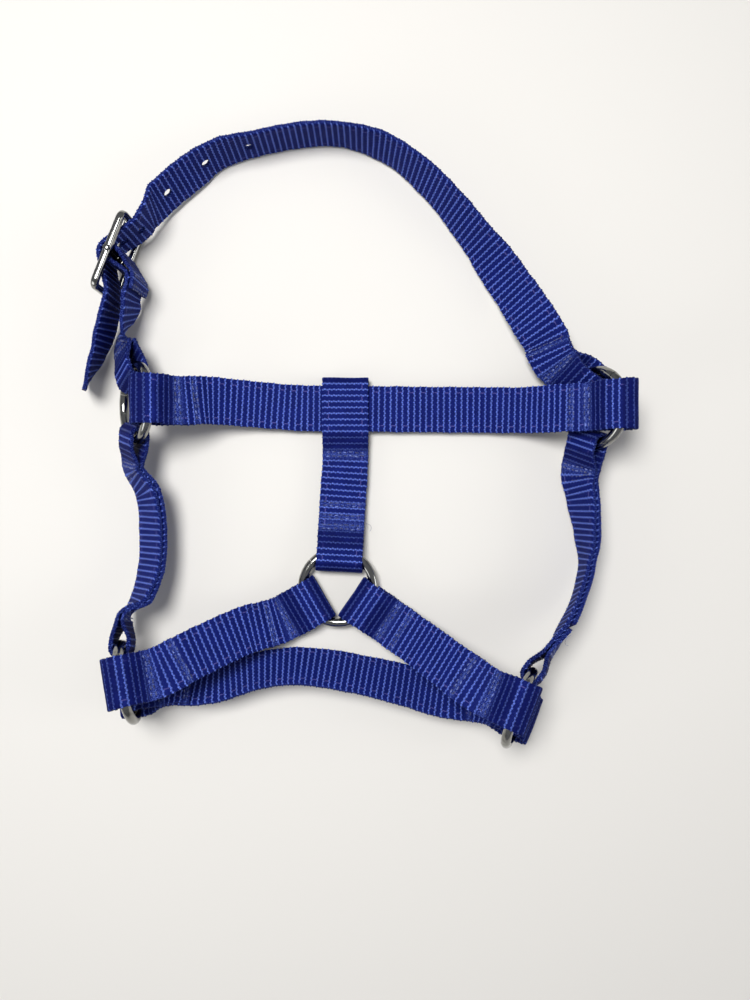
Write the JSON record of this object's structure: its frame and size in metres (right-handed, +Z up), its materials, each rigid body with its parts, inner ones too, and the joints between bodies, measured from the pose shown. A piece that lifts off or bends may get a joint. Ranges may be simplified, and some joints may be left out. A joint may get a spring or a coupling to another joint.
{
  "type": "head halter",
  "caption": "Ribbed webbing head halter with crown, throat, jaw, cheek, chin and nose straps joined by round rings and a centre bar buckle.",
  "frame": {"origin": "centre of the footprint, on the plane the halter lies on", "axes": "+Z up from the surface it lies on, +Y towards the crown strap, +X towards the side without the buckle"},
  "size_m": [0.2197, 0.2474, 0.0414],
  "materials": {
    "webbing": "ribbed nylon weave",
    "thread": "polyester sewing thread",
    "nickel": "polished nickel plate"
  },
  "bodies": {
    "webbing": {"throat_strap": "webbing", "jaw_strap": "webbing", "crown_strap": "webbing", "buckle_strap": "webbing", "cheek_strap_left": "webbing", "cheek_strap_right": "webbing", "chin_strap_left": "webbing", "chin_strap_right": "webbing", "nose_strap": "webbing", "stitch_throat_left": "thread", "stitch_throat_right": "thread", "stitch_jaw_top": "thread", "stitch_jaw_ring": "thread", "stitch_crown": "thread", "stitch_buckle_strap": "thread", "stitch_cheek_left": "thread", "stitch_cheek_right": "thread", "stitch_chin_left_outer": "thread", "stitch_chin_left_lead": "thread", "stitch_chin_right_outer": "thread", "stitch_chin_right_lead": "thread", "stitch_nose_left": "thread", "stitch_nose_right": "thread"},
    "ring_upper_left": {"ring_upper_left": "nickel"},
    "ring_upper_right": {"ring_upper_right": "nickel"},
    "ring_lower_left": {"ring_lower_left": "nickel"},
    "ring_lower_right": {"ring_lower_right": "nickel"},
    "ring_lead": {"ring_lead": "nickel"},
    "buckle_frame": {"buckle_frame": "nickel"},
    "buckle_tongue": {"buckle_tongue": "nickel"}
  },
  "joints": [
    {"name": "ring_upper_left_turn", "type": "hinge", "parent": "webbing", "child": "ring_upper_left", "pos_m": [-0.0844, 0.013, 0.01589], "axis": [-0.8, 0, 0.6], "continuous": true},
    {"name": "ring_upper_right_turn", "type": "hinge", "parent": "webbing", "child": "ring_upper_right", "pos_m": [0.0972, 0.0108, 0.01659], "axis": [-0.866, 0, 0.5], "continuous": true},
    {"name": "ring_lower_left_turn", "type": "hinge", "parent": "webbing", "child": "ring_lower_left", "pos_m": [-0.0858, -0.0961, 0.02149], "axis": [-0.9649, -0.1969, 0.1735], "continuous": true},
    {"name": "ring_lower_right_turn", "type": "hinge", "parent": "webbing", "child": "ring_lower_right", "pos_m": [0.0665, -0.1061, 0.02149], "axis": [-0.881, 0.3186, -0.3498], "continuous": true},
    {"name": "ring_lead_turn", "type": "hinge", "parent": "webbing", "child": "ring_lead", "pos_m": [-0.005, -0.0614, 0.00424], "axis": [0, 0, 1], "continuous": true},
    {"name": "buckle_frame_rock", "type": "hinge", "parent": "webbing", "child": "buckle_frame", "pos_m": [-0.0924, 0.0711, 0.01329], "axis": [0, 0, 1], "range_deg": [-3, 3]},
    {"name": "buckle_tongue_lift", "type": "hinge", "parent": "buckle_frame", "child": "buckle_tongue", "pos_m": [-0.0924, 0.0711, 0.01329], "axis": [0, 0, 1], "range_deg": [0, 12]}
  ]
}
